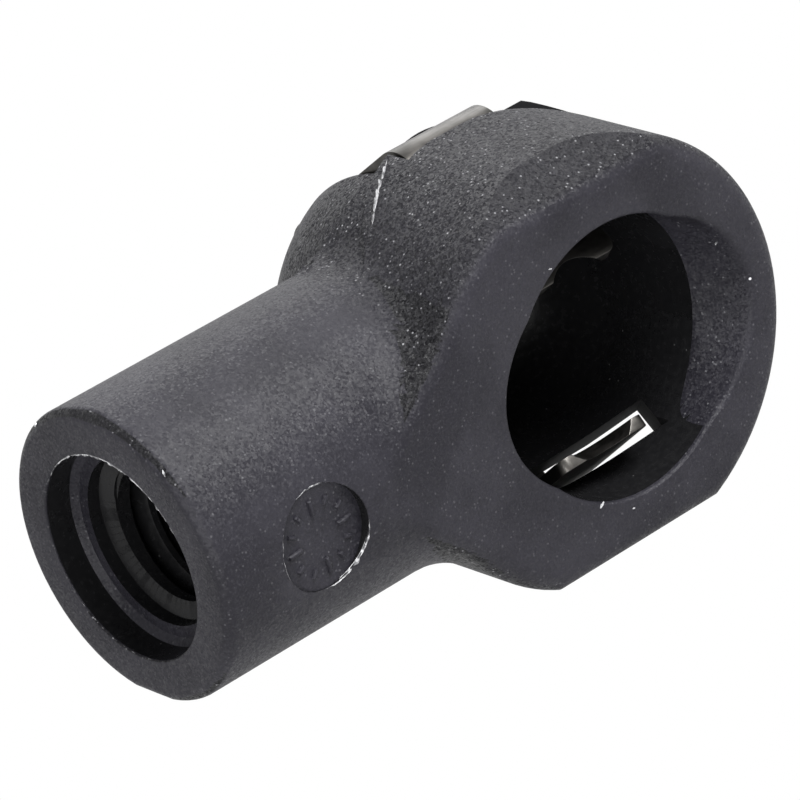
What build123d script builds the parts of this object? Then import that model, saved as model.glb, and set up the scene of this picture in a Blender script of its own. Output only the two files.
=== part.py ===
from build123d import *
import os
from math import atan2, cos, radians, sin, sqrt, tan

os.makedirs("parts", exist_ok=True)

# Angle ball joint for a gas spring: a moulded socket with a threaded shank, held on its
# ball stud by a spring-steel strap clip that wraps round the back of the head.
# +X runs along the shank axis from the threaded end to the head, the socket opens towards
# -Y, and +Z is up. The origin is the centre of the ball, on the shank axis. Millimetres.

# ---- ball ----
ball_diameter = 13.0
ball_clearance = 0.05           # seat and bore over the ball, on the radius

# ---- threaded hole ----
thread_minor_diameter = 6.65    # M8 x 1.25
thread_length = 11.0            # from the counterbore's floor
hole_tip_angle = 118.0
counterbore_diameter = 9.8
counterbore_depth = 1.7
counterbore_bevel = 0.3

# ---- shank ----
shank_diameter = 14.0
shank_reach = 24.15             # ball centre to the shank's end face
end_bevel = 0.35
end_facet_drop = 0.45           # shank's top line to the straight top edge of the end face
end_facet_angle = 45.0

# ---- round pocket for a material mark, on the front of the shank ----
pocket_diameter = 4.8
pocket_depth = 0.5
pocket_from_end = 5.85
pocket_drop = 0.1               # below the shank's middle plane

# ---- head ----
head_diameter = 20.0
head_stretch = 1.7              # the head is longer than it is high by this, towards the shank
face_inset = 0.05               # shank's front line to the flat front face
face_rounding = 1.0
facet_drop = 1.3                # head's top line to the straight top edge of the face
facet_angle = 29.0
drum_end = 2.5                  # ball centre to the end of the upright wall
drum_bevel = 0.4                # the wall's rear edge is bevelled this much
shelf_depth = 0.35              # the shoulder behind the clip's slots lies this much lower
dome_step = 0.85                # the domed back starts this much inside the wall
dome_radius = 11.2              # curve of the domed back, from the step to the flat back
dome_station = 1.8              # where that curve would run parallel to the socket's axis
dome_sections = 6
back_wall = 4.65                # behind the ball seat, on its axis
back_rounding = 0.6
neck_radius = 3.0

# ---- socket mouth ----
mouth_width = 15.4              # along X, at the front face
mouth_height = 11.8
mouth_shift = 0.4               # middle of the mouth along X
mouth_throat = 12.9             # diameter of the relief where it dies out inside the bore
mouth_relief_depth = 2.7

# ---- strap clip ----
strap_thickness = 0.6
strap_width = 5.4
strap_offset = -0.8             # middle of the strap along X
strap_gap = 0.05                # strap to the floor of its channel
strap_side_gap = 0.15
strap_sink = 0.25               # strap's outer side below the flat back
tongue_station = -5.3           # end of each tongue, on the strap's middle line
tongue_height = 4.2
tongue_corner_radius = 0.6
tongue_bite_depth = 0.6         # concave notch in the end of each tongue, for the ball stud's neck
tongue_bite_radius = 2.6
crest_station = 2.0             # where a leg turns back over the head, before rounding
crest_height = 9.9
crest_radius = 1.3
heel_height = 3.9               # where the strap turns across the back, before rounding
heel_radius = 1.8

# ---- slots for the clip's legs ----
slot_front_gap = 0.25
slot_rear_gap = 0.8             # room for the legs when the clip is lifted
slot_far_gap = 1.8              # beyond the strap's edge inside, on the side away from the shank
slot_flare = 30.0               # the wall on that side opens outwards by this angle
slot_inner_margin = 0.5         # the cut starts this far inside the end of the tongue
slot_outer_margin = 3.0         # and runs on this far beyond the leg

shank_radius = shank_diameter / 2
seat_radius = ball_diameter / 2 + ball_clearance
head_radius = head_diameter / 2
face_y = face_inset - shank_radius
back_y = seat_radius + back_wall
end_x = -shank_reach
far = 60.0                      # a cutting block of this size clears the whole part
on_floor = (Align.CENTER, Align.CENTER, Align.MIN)

strap_near_x = strap_offset - strap_width / 2
strap_far_x = strap_offset + strap_width / 2
strap_half = strap_thickness / 2
leg_angle = atan2(crest_height - tongue_height, crest_station - tongue_station)
heel_station = back_y - strap_sink - strap_half


# ======================= moulded socket =======================

def head_outline(radius):
    """Outline seen along the socket's axis: a circle drawn out by the stretch towards the shank."""
    return Pos(-head_stretch / 2, 0) * SlotCenterToCenter(head_stretch, 2 * radius)


def drum():
    """Upright wall of the head, with its bevelled rear edge."""
    wall = extrude(Plane.XZ.offset(-face_y) * head_outline(head_radius), face_y - drum_end)
    rear = wall.edges().group_by(Axis.Y)[-1]
    return chamfer(rear, drum_bevel)


def dome():
    """Domed back, which loses the stretch as it closes on the flat end."""
    start = drum_end
    drop = sqrt(dome_radius**2 - (start - dome_station)**2) - (head_radius - dome_step)
    sections = []
    for i in range(dome_sections):
        share = i / (dome_sections - 1)
        y = start + share * (back_y - start)
        radius = sqrt(dome_radius**2 - (y - dome_station)**2) - drop
        half_stretch = (1 - share) * head_stretch / 2
        sections.append(Plane.XZ.offset(-y) * Pos(-half_stretch, 0) * Ellipse(radius + half_stretch, radius))
    form = loft(sections)
    return fillet(form.edges().group_by(Axis.Y)[-1], back_rounding)


def shank_rod():
    return Plane.YZ.offset(end_x) * Cylinder(shank_radius, shank_reach, align=on_floor)


def block_in_front_of(y):
    return Pos(0, y, 0) * Box(far, far, far, align=(Align.CENTER, Align.MAX, Align.CENTER))


def block_behind(y):
    return Pos(0, y, 0) * Box(far, far, far, align=(Align.CENTER, Align.MIN, Align.CENTER))


def block_beyond(x):
    return Pos(x, 0, 0) * Box(far, far, far, align=(Align.MIN, Align.CENTER, Align.CENTER))


def neck(inset):
    """Shank run into a long pillar of the head's outline, with a concave fillet all round."""
    pillar = extrude(Plane.XZ * head_outline(head_radius - inset), far / 2, both=True)
    block = pillar + shank_rod()
    seam = [e for e in block.edges() if e.geom_type not in (GeomType.LINE, GeomType.CIRCLE)]
    return fillet(seam, neck_radius + inset) - block_behind(drum_end)


def shelf():
    """Block behind the plane of the upper leg's rear side, above the shank and beside the strap."""
    origin = (strap_near_x - strap_side_gap, tongue_station, tongue_height)
    plane = Plane(origin=origin, x_dir=(-1, 0, 0), z_dir=(0, sin(leg_angle), -cos(leg_angle)))
    behind = plane.offset(strap_half) * Box(far, 2 * far, far, align=(Align.MIN, Align.CENTER, Align.MIN))
    return behind & Pos(0, 0, shank_radius) * Box(2 * far, 2 * far, far, align=on_floor)


def face_facet():
    """Block over the plane that rises towards +Y from the straight top edge of the face."""
    tilt = radians(facet_angle)
    plane = Plane(origin=(0, face_y, head_radius - facet_drop), x_dir=(1, 0, 0), z_dir=(0, -sin(tilt), cos(tilt)))
    return plane * Box(far, far, far, align=on_floor)


def end_facet():
    """Block over the small plane that bevels the top of the shank's end."""
    tilt = radians(end_facet_angle)
    plane = Plane(origin=(end_x, 0, shank_radius - end_facet_drop), x_dir=(0, 1, 0), z_dir=(-sin(tilt), 0, cos(tilt)))
    return plane * Box(far, far, far, align=on_floor)


def outer_form():
    body = neck(0) + drum()
    body -= shelf() + mirror(shelf(), Plane.XY)
    body += neck(shelf_depth) + dome() + shank_rod()
    body -= block_in_front_of(face_y) & block_beyond(-head_radius - head_stretch - neck_radius)
    body -= face_facet() + mirror(face_facet(), Plane.XY)
    body -= end_facet() + mirror(end_facet(), Plane.XY)
    face_edges = [e for e in body.edges() if abs(e.center().Y - face_y) < 0.001 and e.length > 2]
    body = fillet(face_edges, face_rounding)
    end_edges = body.edges().filter_by(GeomType.CIRCLE).group_by(Axis.X)[0]
    return chamfer(end_edges, end_bevel)


def ball_cavity():
    """Bore and hemispherical seat, with a mouth that is relieved to the sides."""
    bore = Plane.XZ * Cylinder(seat_radius, far / 2, align=on_floor)
    mouth = Plane.XZ.offset(-face_y) * Pos(mouth_shift, 0) * Ellipse(mouth_width / 2, mouth_height / 2)
    throat = Plane.XZ.offset(-face_y - mouth_relief_depth) * Circle(mouth_throat / 2)
    return Sphere(seat_radius) + bore + loft([mouth, throat])


def threaded_hole():
    """Counterbore with a bevelled floor, then the blind hole at the thread's minor diameter."""
    counter = counterbore_diameter / 2
    minor = thread_minor_diameter / 2
    floor_x = end_x + counterbore_depth
    hole_end = floor_x + thread_length
    outline = Polyline(
        (end_x - 1, 0),
        (end_x - 1, counter),
        (floor_x - counterbore_bevel, counter),
        (floor_x, counter - counterbore_bevel),
        (floor_x, minor),
        (hole_end, minor),
        (hole_end + minor / tan(radians(hole_tip_angle / 2)), 0),
        close=True,
    )
    return revolve(make_face(outline), Axis.X)


def mark_pocket():
    place = Plane.XZ.offset(shank_radius - pocket_depth) * Pos(end_x + pocket_from_end, -pocket_drop)
    return place * Cylinder(pocket_diameter / 2, 2, align=on_floor)


# ======================= strap clip =======================

def strap_corners():
    """Corners of the strap's middle line, from the top tongue round the back to the bottom one."""
    upper = [(tongue_station, tongue_height), (crest_station, crest_height), (heel_station, heel_height)]
    lower = [(y, -z) for y, z in reversed(upper)]
    return upper + lower


def strap_slab(profile, near_x, far_x):
    """Profile drawn in the Y-Z plane, carried from near_x to far_x."""
    return Pos(near_x, 0, 0) * extrude(Plane.YZ * profile, far_x - near_x)


def leg_slot():
    """Slot round the upper leg, from inside the cavity to clear of the head."""
    plane = Plane(
        origin=(0, tongue_station, tongue_height),
        x_dir=(1, 0, 0),
        z_dir=(0, -sin(leg_angle), cos(leg_angle)),
    )
    near_x = strap_near_x - strap_side_gap
    far_x = strap_far_x + slot_far_gap
    flare_start = (sqrt(seat_radius**2 - far_x**2) - tongue_height) / sin(leg_angle)
    leg_length = (crest_station - tongue_station) / cos(leg_angle)
    inner = -slot_inner_margin
    outer = leg_length + slot_outer_margin
    outline = Polyline(
        (near_x, inner),
        (near_x, outer),
        (far_x + (outer - flare_start) * tan(radians(slot_flare)), outer),
        (far_x, flare_start),
        (far_x, inner),
        close=True,
    )
    rear = -strap_half - slot_rear_gap
    return plane.offset(rear) * extrude(make_face(outline), slot_front_gap + strap_half - rear)


def strap_channel():
    """Room for the strap where it runs over the head: all that lies outside its inner side."""
    loop = make_face(FilletPolyline(*strap_corners(), radius=strap_bends(), close=False) + Line(
        (tongue_station, -tongue_height), (tongue_station, tongue_height)))
    under_strap = offset(loop, -strap_half - strap_gap)
    behind_slot = Pos(slot_mouth_y(), 0) * Rectangle(far, far, align=(Align.MIN, Align.CENTER))
    return strap_slab(behind_slot - under_strap, strap_near_x - strap_side_gap, strap_far_x + strap_side_gap)


def slot_mouth_y():
    """Where the front wall of the slot leaves the head."""
    front = (strap_half + slot_front_gap) / cos(leg_angle)
    return tongue_station + (head_radius - front - tongue_height) / tan(leg_angle)


def strap_bends():
    return [crest_radius, heel_radius, heel_radius, crest_radius]


def socket():
    body = outer_form()
    body -= threaded_hole()
    body -= mark_pocket()
    body -= strap_channel()
    body -= leg_slot() + mirror(leg_slot(), Plane.XY)
    body -= ball_cavity()
    return body


def strap_clip():
    path = FilletPolyline(*strap_corners(), radius=strap_bends())
    clip = strap_slab(trace(path, strap_thickness), strap_near_x, strap_far_x)
    corners = [
        e for e in clip.edges().filter_by(GeomType.LINE)
        if e.center().Y < tongue_station + strap_thickness and abs(e.length - strap_thickness) < 0.01
    ]
    clip = fillet(corners, tongue_corner_radius)
    bite_height = tongue_height + tongue_bite_depth - tongue_bite_radius
    bite = Plane.XZ * Pos(strap_offset, bite_height) * Cylinder(tongue_bite_radius, far, align=on_floor)
    return clip - bite - mirror(bite, Plane.XY)


pieces = {"socket_housing": socket(), "retaining_clip": strap_clip()}
for name, piece in pieces.items():
    export_step(piece, f"parts/{name}.step")
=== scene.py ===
import math
import random

import bmesh
import bpy
from mathutils import Matrix, Vector, noise


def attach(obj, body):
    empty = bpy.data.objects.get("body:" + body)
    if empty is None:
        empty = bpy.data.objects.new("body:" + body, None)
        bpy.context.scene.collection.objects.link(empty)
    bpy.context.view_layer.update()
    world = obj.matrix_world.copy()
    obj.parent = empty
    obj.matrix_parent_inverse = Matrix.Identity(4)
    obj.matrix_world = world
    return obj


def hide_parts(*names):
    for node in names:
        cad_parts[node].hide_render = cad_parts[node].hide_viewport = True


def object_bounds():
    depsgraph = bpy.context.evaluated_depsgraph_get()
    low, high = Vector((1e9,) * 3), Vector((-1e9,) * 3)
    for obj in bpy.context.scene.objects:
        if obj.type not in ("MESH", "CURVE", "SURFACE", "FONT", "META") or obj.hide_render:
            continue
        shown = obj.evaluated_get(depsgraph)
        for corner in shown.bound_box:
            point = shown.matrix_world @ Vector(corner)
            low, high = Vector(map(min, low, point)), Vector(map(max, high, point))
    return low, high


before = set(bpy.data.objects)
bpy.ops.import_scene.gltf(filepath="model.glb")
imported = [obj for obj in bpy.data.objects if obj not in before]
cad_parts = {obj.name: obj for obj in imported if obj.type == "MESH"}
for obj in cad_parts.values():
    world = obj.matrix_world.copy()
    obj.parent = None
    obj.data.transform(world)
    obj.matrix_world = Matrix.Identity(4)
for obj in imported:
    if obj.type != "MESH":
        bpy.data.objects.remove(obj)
cad_low, cad_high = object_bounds()

scene = bpy.context.scene
scene.view_settings.view_transform = "Standard"

MM = 0.001
TURN = 2 * math.pi

# Places and sizes in mm, on the CAD model's axes.
BALL_RADIUS = 6.55              # seat and bore
FACE_Y = -6.95                  # flat front face
SHANK_RADIUS = 7.0
END_X = -24.15                  # end face of the shank
COUNTERBORE_RADIUS = 4.9
COUNTERBORE_FLOOR_X = -22.45
THREAD_MINOR = 3.325            # M8 x 1.25, radii
THREAD_MAJOR = 4.0
THREAD_PITCH = 1.25
THREAD_END_X = -12.3
ENTRY_DEPTH = 0.95              # plain recess before the first thread
ENTRY_CONE = 0.3                # length of the cone at the recess's end
POCKET_CENTRE = (-18.3, -0.1)   # X and Z of the round pocket in the shank's front
POCKET_RADIUS = 2.4
POCKET_FLOOR_Y = -6.5
NECK_X = -9                     # the head lies on the +X side of this
TONGUE_PLACE = (-5.3, 4.2)      # Y and Z of the upper tongue's end, on the strap's middle line
CREST_PLACE = (2.0, 9.9)        # Y and Z of the strap's highest bend
LEG_ANGLE = math.atan2(CREST_PLACE[1] - TONGUE_PLACE[1], CREST_PLACE[0] - TONGUE_PLACE[0])

# Rounding of edges in mm, and the turn in degrees from which shading breaks.
MOUTH_ROUNDING = 0.42
COUNTERBORE_ROUNDING = 0.12
POCKET_ROUNDING = 0.07
END_ROUNDING = 0.16
CLIP_ROUNDING = 0.06
BODY_SHARP = 28
DETAIL_SHARP = 50

# Material slots of the housing.
MOULDED, POLISHED, SHADED_COPY, SLOT_SHADE = range(4)

# Fibre ends on the surface: place in mm, normal, length in mm.
FIBRE_ENDS = [
    ((6.99, -6.20, 2.44), (-0.82, -0.44, -0.38), 0.22),
    ((-3.4, -6.95, 6.01), (0, -1, 0), 0.20),
    ((-24.0, 4.18, 5.43), (-0.7, 0.43, 0.56), 0.20),
    ((-3.01, -6.95, -5.93), (0, -1, 0), 0.42),
    ((-1.22, -6.95, -6.96), (0, -1, 0), 0.20),
    ((-24.0, -4.44, 5.22), (-0.7, -0.46, 0.54), 0.35),
]

# The flash line down the head's left side, in mm.
PARTING_LINE = [
    (-3.95, 2.10, 9.73), (-4.56, 1.62, 9.57), (-5.12, 1.30, 9.39), (-5.63, 0.98, 9.18),
    (-6.33, 0.52, 8.85), (-6.88, 0.14, 8.54), (-7.43, -0.22, 8.18),
]

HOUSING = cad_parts["socket_housing"]
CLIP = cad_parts["retaining_clip"]


# ---------------------------------------------------------------- node helpers

class Graph:
    """A material's node tree, with short calls for making and joining nodes."""

    def __init__(self, name):
        self.material = bpy.data.materials.new(name)
        self.material.use_nodes = True
        self.nodes = self.material.node_tree.nodes
        self.links = self.material.node_tree.links
        self.nodes.clear()
        self.output = self.nodes.new("ShaderNodeOutputMaterial")

    def node(self, kind, inputs=None, **settings):
        made = self.nodes.new("ShaderNode" + kind)
        for key, value in settings.items():
            setattr(made, key, value)
        for key, value in (inputs or {}).items():
            if isinstance(value, bpy.types.NodeSocket):
                self.links.new(value, made.inputs[key])
            else:
                made.inputs[key].default_value = value
        return made

    def place(self):
        """The point on the part in metres, the same at every pose."""
        return self.node("TexCoord").outputs["Object"]

    def noise(self, size_mm, detail=2.0, roughness=0.5):
        inputs = {"Scale": 1 / (size_mm * MM), "Detail": detail, "Roughness": roughness}
        return self.node("TexNoise", {**inputs, "Vector": self.place()}).outputs["Fac"]

    def band(self, value, low, high, out_low=0.0, out_high=1.0):
        """Value from low to high, mapped smoothly to out_low..out_high and held beyond."""
        made = self.node("MapRange", {"Value": value, "From Min": low, "From Max": high,
                                      "To Min": out_low, "To Max": out_high})
        made.interpolation_type = "SMOOTHSTEP"
        return made.outputs["Result"]

    def math(self, kind, a, b=0.0):
        return self.node("Math", {0: a, 1: b}, operation=kind).outputs[0]

    def mix(self, share, first, second):
        made = self.node("Mix", {"Factor": share}, data_type="RGBA")
        for slot, value in ((6, first), (7, second)):
            if isinstance(value, bpy.types.NodeSocket):
                self.links.new(value, made.inputs[slot])
            else:
                made.inputs[slot].default_value = (*value, 1.0)
        return made.outputs[2]

    def bump(self, height, depth_mm, strength=1.0, under=None):
        inputs = {"Height": height, "Strength": strength, "Distance": depth_mm * MM}
        if under is not None:
            inputs["Normal"] = under
        return self.node("Bump", inputs).outputs["Normal"]

    def vector(self, kind, a, b=None, **inputs):
        values = {0: a, **inputs} if b is None else {0: a, 1: b}
        return self.node("VectorMath", values, operation=kind).outputs[0]

    def flakes(self, size_mm, tilt):
        """The normal, tilted at random in each small irregular cell, as on short glass fibres."""
        warp_scale, warp_reach = 0.7, 1.4       # both against the cells
        warp = self.node("TexNoise", {"Scale": warp_scale / (size_mm * MM), "Vector": self.place()})
        moved = self.vector("SCALE", warp.outputs["Color"], Scale=warp_reach * size_mm * MM)
        at = self.vector("ADD", self.place(), moved)
        cells = self.node("TexVoronoi", {"Scale": 1 / (size_mm * MM), "Vector": at})
        lean = self.vector("SUBTRACT", cells.outputs["Color"], (0.5, 0.5, 0.5))
        lean = self.vector("SCALE", lean, Scale=tilt)
        normal = self.node("NewGeometry").outputs["Normal"]
        return self.vector("NORMALIZE", self.vector("ADD", normal, lean))

    def specks(self, spacing_mm, share, radius_mm):
        """1 on small round specks, one in a few of the cells of a random pattern, and 0 between."""
        cells = self.node("TexVoronoi", {"Scale": 1 / (spacing_mm * MM), "Vector": self.place()})
        chosen = self.node("SeparateColor", {0: cells.outputs["Color"]}).outputs[0]
        chosen = self.math("LESS_THAN", chosen, share)
        rim, core = radius_mm / spacing_mm, 0.6 * radius_mm / spacing_mm
        return self.math("MULTIPLY", chosen, self.band(cells.outputs["Distance"], core, rim, 1, 0))

    def surface(self, shader):
        self.links.new(shader.outputs[0], self.output.inputs["Surface"])
        return self.material


# ---------------------------------------------------------------- materials

def moulded_nylon(name, darkness, least_coarse):
    """Glass-filled nylon: coarse and sparkling on the head, finer on the shank and flat faces."""
    g = Graph(name)
    x, y, z = g.node("SeparateXYZ", {0: g.place()}).outputs
    behind_face, head_x, past_mouth = (0.02, 0.5), (-12, -7), (8.1, 8.9)
    least_on_shank, least_at_mouth = 0.12, 0.3
    off_face = g.band(y, (FACE_Y + behind_face[0]) * MM, (FACE_Y + behind_face[1]) * MM)
    on_head = g.band(x, head_x[0] * MM, head_x[1] * MM, least_on_shank, 1)
    reach = g.math("SQRT", g.math("ADD", g.math("MULTIPLY", x, x), g.math("MULTIPLY", z, z)))
    off_mouth = g.band(reach, past_mouth[0] * MM, past_mouth[1] * MM, least_at_mouth, 1)
    coarse = g.math("MULTIPLY", g.math("MULTIPLY", off_face, on_head), off_mouth)
    coarse = g.math("MAXIMUM", coarse, least_coarse)

    def from_fine(fine_value, coarse_value):
        return g.band(coarse, 0, 1, fine_value, coarse_value)

    grain = g.noise(size_mm=0.12, detail=3.0, roughness=0.7)
    pits = g.noise(size_mm=0.28, detail=3.0, roughness=0.6)
    flow = g.noise(size_mm=4.0, detail=3.0)
    # Painted highlight: bright specks, chosen at random, stand in for glints off the glass fibres.
    painted_glints = g.specks(spacing_mm=0.18, share=0.14, radius_mm=0.06)
    chips = g.specks(spacing_mm=1.6, share=0.05, radius_mm=0.08)

    dark = tuple(darkness * c for c in (0.0095, 0.0090, 0.0125))
    pale = tuple(darkness * c for c in (0.0155, 0.0148, 0.0195))
    # The darkest colour below is painted shade, for light trapped in the coarse grain.
    painted_grain_shade, crest = (0.003, 0.003, 0.004), (0.048, 0.047, 0.054)
    glass, chip = (0.20, 0.20, 0.21), (0.55, 0.55, 0.57)
    tone = g.mix(g.band(flow, 0.35, 0.65), dark, pale)
    # Painted shade: the coarse areas are darkened towards the darkest colour.
    tone = g.mix(from_fine(0, 0.6), tone, painted_grain_shade)
    tone = g.mix(g.band(grain, 0.5, 0.75, 0, 0.45), tone, crest)
    # Painted highlight: the specks take the pale glass colour, more of them where the grain is
    # coarse.
    tone = g.mix(g.math("MULTIPLY", painted_glints, from_fine(0.15, 0.8)), tone, glass)
    tone = g.mix(chips, tone, chip)
    normal = g.flakes(size_mm=0.10, tilt=from_fine(0.34, 1.0))
    normal = g.bump(pits, depth_mm=0.06, strength=from_fine(0.08, 0.5), under=normal)
    normal = g.bump(grain, depth_mm=0.04, strength=from_fine(0.3, 0.8), under=normal)
    shader = g.node("BsdfPrincipled", {
        "Base Color": tone, "Normal": normal, "Specular IOR Level": 0.18,
        "Roughness": g.band(grain, 0.3, 0.7, 0.42, 0.58),
    })
    return g.surface(shader)


def cored_nylon(name, shine, roughness):
    """The same nylon where a core formed it: black, and as smooth as the core was. On the slot
    walls a black, matt copy is painted shade.
    """
    g = Graph(name)
    grain = g.noise(size_mm=0.3, detail=2.0, roughness=0.5)
    dust = g.specks(spacing_mm=0.45, share=0.08, radius_mm=0.05)
    tone = g.mix(g.band(grain, 0.3, 0.7), (0.0055, 0.0055, 0.006), (0.0075, 0.0075, 0.008))
    tone = g.mix(dust, tone, (0.06, 0.06, 0.06))
    uneven = 0.08
    shader = g.node("BsdfPrincipled", {
        "Base Color": tone, "Specular IOR Level": shine,
        "Normal": g.bump(grain, depth_mm=0.01, strength=0.3),
        "Roughness": g.band(grain, 0.3, 0.7, roughness, roughness + uneven),
    })
    return g.surface(shader)


def flash_nylon():
    """Thin flash and torn rims, pale in random patches: a painted highlight that makes the thin
    rims look lit.
    """
    g = Graph("flash_nylon")
    torn = g.noise(size_mm=0.25, detail=3.0, roughness=0.6)
    # Painted highlight: the pale colour makes the thin burrs and flash read as lit.
    whole, painted_highlight_tone = (0.10, 0.10, 0.105), (0.42, 0.42, 0.43)
    shader = g.node("BsdfPrincipled", {
        "Base Color": g.mix(g.band(torn, 0.4, 0.6), whole, painted_highlight_tone),
        "Normal": g.bump(torn, depth_mm=0.03, strength=0.5), "Roughness": 0.4,
    })
    return g.surface(shader)


def spring_steel():
    """Oiled, hardened strip: dark and brownish, with fine rolling marks across the strap."""
    g = Graph("hardened_strip")
    line_size, line_stretch = 0.12, (0.08, 1, 1)
    across = g.node("Mapping", {0: g.place(), "Scale": line_stretch}).outputs[0]
    inputs = {"Vector": across, "Scale": 1 / (line_size * MM), "Detail": 3.0}
    rolled = g.node("TexNoise", inputs).outputs["Fac"]
    stain = g.noise(size_mm=1.2, detail=3.0)
    tone = g.mix(g.band(stain, 0.35, 0.65), (0.045, 0.043, 0.040), (0.080, 0.076, 0.071))
    shader = g.node("BsdfPrincipled", {
        "Base Color": tone, "Metallic": 1.0,
        "Normal": g.bump(rolled, depth_mm=0.006, strength=0.5),
        "Roughness": g.band(rolled, 0.3, 0.7, 0.30, 0.42),
    })
    return g.surface(shader)


def white_backdrop():
    g = Graph("white_backdrop")
    path = g.node("LightPath").outputs
    seen = g.math("MAXIMUM", path["Is Camera Ray"], path["Is Glossy Ray"])
    seen = g.math("MAXIMUM", seen, path["Is Transmission Ray"])
    diffuse = g.node("BsdfDiffuse", {"Color": (0.8, 0.8, 0.8, 1)})
    glow = g.node("Emission", {"Color": (1, 1, 1, 1), "Strength": 1.0})
    both = g.node("MixShader", {"Fac": seen, 1: diffuse.outputs[0], 2: glow.outputs[0]})
    return g.surface(both)


def wear(obj, *materials):
    obj.data.materials.clear()
    for material in materials:
        obj.data.materials.append(material)


# ---------------------------------------------------------------- mesh helpers

def add_object(name, mesh):
    obj = bpy.data.objects.new(name, mesh)
    scene.collection.objects.link(obj)
    return obj


def mesh_from(bm, name):
    mesh = bpy.data.meshes.new(name)
    bm.to_mesh(mesh)
    bm.free()
    return mesh


def cleaned_copy(node):
    """The CAD node's mesh with its seams joined and its flat faces made whole."""
    seam_mm, flat_degrees = 0.0005, 0.3
    bm = bmesh.new()
    bm.from_mesh(node.data)
    bmesh.ops.remove_doubles(bm, verts=bm.verts, dist=seam_mm * MM)
    bmesh.ops.dissolve_limit(bm, angle_limit=math.radians(flat_degrees), verts=bm.verts,
                             edges=bm.edges)
    return bm


def round_edges(bm, wanted, radius_mm, least_turn=25):
    """Rounds edges that turn enough and whose two ends both satisfy wanted(x, y, z), in mm."""
    edges = []
    for edge in bm.edges:
        if len(edge.link_faces) != 2 or edge.calc_face_angle(0) < math.radians(least_turn):
            continue
        if all(wanted(*(v.co / MM)) for v in edge.verts):
            edges.append(edge)
    bmesh.ops.bevel(bm, geom=edges, offset=radius_mm * MM, segments=3, profile=0.5,
                    affect="EDGES", clamp_overlap=True)


def shade(mesh, sharp_degrees):
    """Smooth shading that breaks at edges sharper than the given turn."""
    sharp = math.radians(sharp_degrees)
    bm = bmesh.new()
    bm.from_mesh(mesh)
    bmesh.ops.triangulate(bm, faces=bm.faces)
    for face in bm.faces:
        face.smooth = True
    for edge in bm.edges:
        edge.smooth = len(edge.link_faces) == 2 and edge.calc_face_angle(0) < sharp
    bm.to_mesh(mesh)
    bm.free()


def skin(bm, rings):
    """A closed skin over a row of rings of points in mm, all with the same number of points."""
    rings = [[bm.verts.new(Vector(point) * MM) for point in ring] for ring in rings]
    sides = len(rings[0])
    for a, b in zip(rings, rings[1:]):
        for k in range(sides):
            after = (k + 1) % sides
            bm.faces.new((a[k], a[after], b[after], b[k]))
    bm.faces.new(rings[0])
    bm.faces.new(list(reversed(rings[-1])))


def skinned_object(name, *rows_of_rings):
    """An object with one closed skin to each row of rings, held inside the CAD model's box."""
    bm = bmesh.new()
    for rings in rows_of_rings:
        skin(bm, rings)
    bmesh.ops.recalc_face_normals(bm, faces=bm.faces)
    for vert in bm.verts:
        vert.co = [min(max(c, low), high) for c, low, high in zip(vert.co, cad_low, cad_high)]
    return add_object(name, mesh_from(bm, name))


def ridge(name, points, normals, width_mm, height_mm, solid, seed):
    """A thin ragged ridge along points in mm. It breaks up as solid goes from 1 to 0."""
    sunk = 0.08                     # its two lower edges lie this far under the surface
    raggedness, rag_step, lowest, highest = 1.4, 0.45, -0.4, 1.3
    sway_share, sway_step = 0.4, 0.3
    rings = []
    for i, (point, normal) in enumerate(zip(points, normals)):
        here, up = Vector(point), Vector(normal).normalized()
        ahead = Vector(points[min(i + 1, len(points) - 1)]) - Vector(points[max(i - 1, 0)])
        side = ahead.cross(up).normalized()
        fade = math.sin(math.pi * (i + 0.5) / len(points)) ** 0.5
        ragged = solid + raggedness * noise.noise(Vector((seed, i * rag_step, 0)))
        lift = height_mm * fade * min(max(lowest, ragged), highest)
        half = width_mm / 2 * max(0.3, fade)
        sway = side * width_mm * sway_share * noise.noise(Vector((seed + 5, i * sway_step, 0)))
        rings.append((
            here - side * half - up * sunk,
            here + sway + up * lift,
            here + side * half - up * sunk,
        ))
    return skinned_object(name, rings)


# ---------------------------------------------------------------- the housing with its thread

def round_point(x, radius, angle):
    """A point round the shank's axis. Angles are from +Y towards +Z."""
    return Vector((x, radius * math.cos(angle), radius * math.sin(angle)))


def thread_cutter():
    """The helical groove of the internal thread, from the recess to near the hole's end."""
    steps = 40                      # sections in one turn
    run_in, run_out = 0.3, 0.6      # turns over which the groove gains and loses its depth
    overlap, shallowest = 0.15, 0.03
    start_x = COUNTERBORE_FLOOR_X + ENTRY_DEPTH
    turns = (THREAD_END_X - start_x) / THREAD_PITCH
    inner = THREAD_MINOR - overlap
    root_half = THREAD_PITCH / 16   # half the flat at the groove's bottom
    flank = math.tan(math.radians(30))
    rings = []
    for i in range(round(turns * steps) + 1):
        turn = i / steps
        fade = max(min(1.0, (turns - turn) / run_out, turn / run_in + 0.05), 0.0)
        outer = inner + shallowest + (THREAD_MAJOR - inner - shallowest) * fade
        mouth_half = root_half + (outer - inner) * flank
        centre = start_x + THREAD_PITCH * turn
        rings.append([
            round_point(centre + dx, r, TURN * turn)
            for dx, r in ((-mouth_half, inner), (-root_half, outer), (root_half, outer),
                          (mouth_half, inner))
        ])
    return skinned_object("thread_cutter", rings)


def entry_cutter():
    """The plain recess at the thread's start, with a short cone down to the minor diameter."""
    sides = 72
    lead = 0.3                      # the cutter starts this far outside the floor
    wide = THREAD_MAJOR + 0.05
    profile = [(-lead, wide), (ENTRY_DEPTH - ENTRY_CONE, wide), (ENTRY_DEPTH, THREAD_MINOR)]
    rings = [
        [round_point(COUNTERBORE_FLOOR_X + along, radius, TURN * k / sides) for k in range(sides)]
        for along, radius in profile
    ]
    return skinned_object("entry_cutter", rings)


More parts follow.
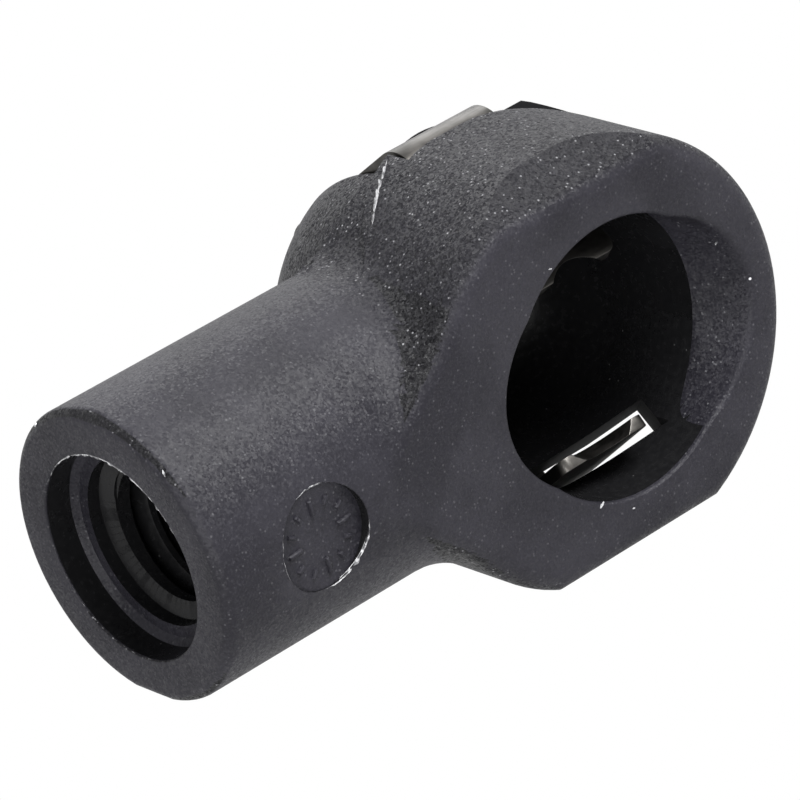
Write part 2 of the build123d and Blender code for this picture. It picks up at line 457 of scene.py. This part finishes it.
def cut(obj, cutter):
    """Takes the cutter out of obj, and the cutter out of the scene."""
    tool = obj.modifiers.new("cut", "BOOLEAN")
    tool.operation = "DIFFERENCE"
    tool.solver = "EXACT"
    tool.object = cutter
    mesh = bpy.data.meshes.new_from_object(obj.evaluated_get(bpy.context.evaluated_depsgraph_get()))
    obj.modifiers.clear()
    obj.data = mesh
    bpy.data.objects.remove(cutter)


def on_mouth_rim(x, y, z):
    largest_reach = 8.2
    return abs(y - FACE_Y) < 0.005 and math.hypot(x, z) < largest_reach


def on_counterbore_rim(x, y, z):
    return abs(x - END_X) < 0.005 and math.hypot(y, z) < COUNTERBORE_RADIUS + 0.05


def on_pocket_rim(x, y, z):
    away = math.hypot(x - POCKET_CENTRE[0], z - POCKET_CENTRE[1])
    return abs(away - POCKET_RADIUS) < 0.02 and y < POCKET_FLOOR_Y - 0.1


def on_end_rim(x, y, z):
    rim_depth, least_radius = 0.5, 6.2
    return x < END_X + rim_depth and math.hypot(y, z) > least_radius


def in_slot(centre, normal):
    """Whether a face lies on the walls of the slots that the clip's legs pass through."""
    x, y, z = centre
    leg = Vector((0, math.cos(LEG_ANGLE), math.copysign(math.sin(LEG_ANGLE), z)))
    front = Vector((0, -math.sin(LEG_ANGLE), math.copysign(math.cos(LEG_ANGLE), z)))
    tongue = Vector((0, TONGUE_PLACE[0], math.copysign(TONGUE_PLACE[1], z)))
    across = front.dot(Vector(centre) - tongue)
    beside_leg = -1.2 < across < 0.6 and abs(normal.dot(leg)) < 0.6
    is_wall = max(abs(normal.dot(front)), abs(normal.x)) > 0.8
    return beside_leg and is_wall and math.hypot(x, z) < 9.9 and -6.5 < y < 4 and abs(z) > 3.4


def head_finish(centre, normal):
    x, y, z = centre
    # The slot walls take the black, matt nylon: painted shade.
    if in_slot(centre, normal):
        return SLOT_SHADE
    on_bore_radius = 5.8 < math.hypot(x, z) < BALL_RADIUS + 0.02
    in_bore = y < 0.2 and on_bore_radius and abs(normal.y) < 0.12
    in_seat = y > -0.1 and centre.length < BALL_RADIUS + 0.02
    return POLISHED if y > FACE_Y + 0.3 and (in_bore or in_seat) else MOULDED


def shank_finish(centre, normal):
    """The pocket's wall, the counterbore and the thread are polished. The pocket's floor and the
    flat on the shank's end get a darker copy of the nylon, as painted shade."""
    x, y, z = centre
    from_pocket = math.hypot(x - POCKET_CENTRE[0], z - POCKET_CENTRE[1])
    if from_pocket < POCKET_RADIUS + 0.02 and y < POCKET_FLOOR_Y:
        return POLISHED if abs(normal.y) < 0.5 else SHADED_COPY
    if math.hypot(y, z) > COUNTERBORE_RADIUS + 0.02:
        return SHADED_COPY if normal.x < -0.4 and abs(normal.z) > 0.5 else MOULDED
    floor = x < COUNTERBORE_FLOOR_X + 0.01 and normal.x < -0.3
    return POLISHED if x > END_X + 0.15 and not floor else MOULDED


def make_housing():
    bm = cleaned_copy(HOUSING)
    round_edges(bm, on_mouth_rim, MOUTH_ROUNDING)
    round_edges(bm, on_counterbore_rim, COUNTERBORE_ROUNDING)
    round_edges(bm, on_pocket_rim, POCKET_ROUNDING)
    round_edges(bm, on_end_rim, END_ROUNDING)
    housing = add_object("moulded_socket", mesh_from(bm, "moulded_socket"))
    cut(housing, entry_cutter())
    cut(housing, thread_cutter())
    shade(housing.data, BODY_SHARP)
    polished = cored_nylon("polished_nylon", shine=0.18, roughness=0.2)
    # Painted shade: a darker copy of the nylon for the flat on the shank's end and the pocket's
    # floor.
    shaded_copy = moulded_nylon("shaded_copy_nylon", darkness=0.3, least_coarse=0.8)
    # Painted shade: black, matt nylon on the slot walls, standing in for the shade inside the
    # slots.
    slot_shade = cored_nylon("slot_shade_nylon", shine=0.05, roughness=0.8)
    wear(housing, NYLON, polished, shaded_copy, slot_shade)
    for face in housing.data.polygons:
        centre = face.center / MM
        finish = head_finish if centre.x > NECK_X else shank_finish
        face.material_index = finish(centre, face.normal)
    join_body(housing, "socket")
    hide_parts("socket_housing")


def join_body(piece, body):
    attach(piece, body)


def make_clip():
    """The strap with its sheared edges broken, so that they catch the light."""
    bm = cleaned_copy(CLIP)
    round_edges(bm, lambda x, y, z: True, CLIP_ROUNDING, least_turn=40)
    clip = add_object("strap_clip", mesh_from(bm, "strap_clip"))
    shade(clip.data, BODY_SHARP)
    wear(clip, spring_steel())
    join_body(clip, "clip")
    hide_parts("retaining_clip")


# ---------------------------------------------------------------- flash, burrs and chips

def finish_detail(piece, material):
    wear(piece, material)
    join_body(piece, "socket")


def flash_piece(name, points, normals, **shape):
    piece = ridge(name, points, normals, **shape)
    shade(piece.data, DETAIL_SHARP)
    finish_detail(piece, FLASH)


def arc(start, end, step):
    """Angles from start to end, in radians, about step degrees apart."""
    count = round(abs(end - start) / step)
    return [math.radians(start + (end - start) * i / count) for i in range(count + 1)]


def counterbore_burr(name, start, end, **shape):
    """A torn burr on the counterbore's rim. Angles are from +Z towards -Y."""
    behind_face, outside_rim, lean = 0.06, 0.03, -0.35
    points, normals = [], []
    for a in arc(start, end, step=1.5):
        out = Vector((0, -math.sin(a), math.cos(a)))
        rim = out * (COUNTERBORE_RADIUS + outside_rim)
        points.append(Vector((END_X + behind_face, 0, 0)) + rim)
        normals.append(Vector((lean, 0, 0)) - out)
    flash_piece(name, points, normals, width_mm=0.07, **shape)


def pocket_burr(name, start, end, **shape):
    """A torn burr on the pocket's rim. Angles are from +X towards +Z."""
    reach = POCKET_RADIUS + 0.05
    points, normals = [], []
    for a in arc(start, end, step=3):
        x = POCKET_CENTRE[0] + reach * math.cos(a)
        z = POCKET_CENTRE[1] + reach * math.sin(a)
        y = -math.sqrt(SHANK_RADIUS ** 2 - z ** 2)
        points.append(Vector((x, y, z)))
        normals.append(Vector((0, y, z)))
    flash_piece(name, points, normals, width_mm=0.12, **shape)


def make_flash():
    pieces_between, lean = 5, 0.4
    points, normals = [], []
    for a, b in zip(PARTING_LINE, PARTING_LINE[1:]):
        for i in range(pieces_between):
            here = Vector(a).lerp(Vector(b), i / pieces_between)
            points.append(here)
            normals.append(Vector((here.x * lean, 0, here.z)))
    flash_piece("parting_flash", points, normals, width_mm=0.18, height_mm=0.22, solid=0.8, seed=3)
    counterbore_burr("counterbore_burr_top", -58, 75, height_mm=0.11, solid=0.6, seed=11)
    counterbore_burr("counterbore_burr_bottom", -190, -118, height_mm=0.10, solid=0.1, seed=17)
    pocket_burr("pocket_burr_right", -95, -5, height_mm=0.10, solid=0.45, seed=23)
    pocket_burr("pocket_burr_left", 150, 200, height_mm=0.08, solid=0.3, seed=29)
    pocket_burr("pocket_burr_top", 70, 112, height_mm=0.08, solid=0.3, seed=31)


def make_ticks():
    """Plain raised ticks round the pocket's floor, where moulders set a dial."""
    count, first_degrees = 12, 6
    outer_end, long_start, short_start = 1.85, 1.05, 1.40
    sections = ((0.11, 0.03, 0.0), (0.08, -0.10, 0.03), (0.03, -0.14, 0.07))
    middle = Vector((POCKET_CENTRE[0], POCKET_FLOOR_Y, POCKET_CENTRE[1]))
    ticks = []
    for k in range(count):
        a = math.radians(360 / count * k + first_degrees)
        out = Vector((math.cos(a), 0, math.sin(a)))
        side = Vector((-math.sin(a), 0, math.cos(a)))
        start = long_start if k % 3 == 0 else short_start
        rings = []
        for half_width, y, inset in sections:
            near, far = start + inset, outer_end - inset
            corners = ((near, -1), (far, -1), (far, 1), (near, 1))
            level = Vector((0, y, 0))
            rings.append([middle + out * r + side * s * half_width + level for r, s in corners])
        ticks.append(rings)
    piece = skinned_object("pocket_ticks", *ticks)
    shade(piece.data, DETAIL_SHARP)
    finish_detail(piece, NYLON)


def make_chips():
    """Loose white fibre ends on the surface, each turned at random about its normal."""
    half_width, sunk, raised, taper = 0.05, 0.03, 0.05, 0.7
    rng = random.Random(5)
    chips = []
    for place, normal, length in FIBRE_ENDS:
        up = Vector(normal).normalized()
        along = up.orthogonal().normalized()
        along.rotate(Matrix.Rotation(rng.uniform(0, math.pi), 3, up))
        side = up.cross(along)
        middle = Vector(place)
        half = along * length / 2
        corners = [half, side * half_width, -half, -side * half_width]
        chips.append([
            [middle + c - up * sunk for c in corners],
            [middle + c * taper + up * raised for c in corners],
        ])
    finish_detail(skinned_object("fibre_chips", *chips), FLASH)


# ---------------------------------------------------------------- camera, light, floor

def add_camera():
    """The photo's camera, fitted to the round rims of the shank, the counterbore and the mouth."""
    data = bpy.data.cameras.new("camera")
    data.lens = 246.6
    data.sensor_width = 36.0
    data.clip_start = 0.02
    data.clip_end = 5.0
    camera = add_object("camera", data)
    place = Vector((-141.555, -174.676, 105.191)) * MM
    right = Vector((0.72383, -0.66533, -0.18276)).normalized()
    forward = Vector((0.54897, 0.71579, -0.43160)).normalized()
    up = right.cross(forward)
    turn = Matrix((right, up, -forward)).transposed().to_4x4()
    camera.matrix_world = Matrix.Translation(place) @ turn
    scene.camera = camera


def add_lamp(name, place_mm, size_mm, watts):
    """A square lamp that looks at the ball's centre."""
    data = bpy.data.lights.new(name, "AREA")
    data.shape = "SQUARE"
    data.size = size_mm * MM
    data.energy = watts
    lamp = add_object(name, data)
    lamp.location = Vector(place_mm) * MM
    lamp.rotation_euler = (-lamp.location).to_track_quat("-Z", "Y").to_euler()


def add_world():
    """A plain grey light that looks white where it is seen, reflected or seen through."""
    light_level, seen_level = 0.30, 1.0
    world = bpy.data.worlds.new("studio")
    scene.world = world
    world.use_nodes = True
    nodes, links = world.node_tree.nodes, world.node_tree.links
    nodes.clear()
    path = nodes.new("ShaderNodeLightPath")
    seen = path.outputs["Is Camera Ray"]
    for kind in ("Is Glossy Ray", "Is Transmission Ray"):
        either = nodes.new("ShaderNodeMath")
        either.operation = "MAXIMUM"
        links.new(seen, either.inputs[0])
        links.new(path.outputs[kind], either.inputs[1])
        seen = either.outputs[0]
    level = nodes.new("ShaderNodeMapRange")
    level.inputs["To Min"].default_value = light_level
    level.inputs["To Max"].default_value = seen_level
    links.new(seen, level.inputs["Value"])
    back = nodes.new("ShaderNodeBackground")
    back.inputs["Color"].default_value = (1, 1, 1, 1)
    links.new(level.outputs[0], back.inputs["Strength"])
    out = nodes.new("ShaderNodeOutputWorld")
    links.new(back.outputs[0], out.inputs["Surface"])


def add_floor():
    half, gap_mm = 0.6, 0.02
    height = cad_low[2] - gap_mm * MM
    mesh = bpy.data.meshes.new("floor")
    corners = [(x * half, y * half, height) for x, y in ((-1, -1), (1, -1), (1, 1), (-1, 1))]
    mesh.from_pydata(corners, [], [(0, 1, 2, 3)])
    floor = add_object("floor", mesh)
    wear(floor, white_backdrop())


add_camera()
add_world()
add_floor()
add_lamp("key", (50, -110, 270), size_mm=160, watts=2.05)
add_lamp("back", (160, 240, 180), size_mm=240, watts=0.5)
add_lamp("side", (-240, -160, 30), size_mm=180, watts=0.85)

NYLON = moulded_nylon("moulded_nylon", darkness=1.0, least_coarse=0.0)
FLASH = flash_nylon()
make_housing()
make_clip()
make_flash()
make_ticks()
make_chips()
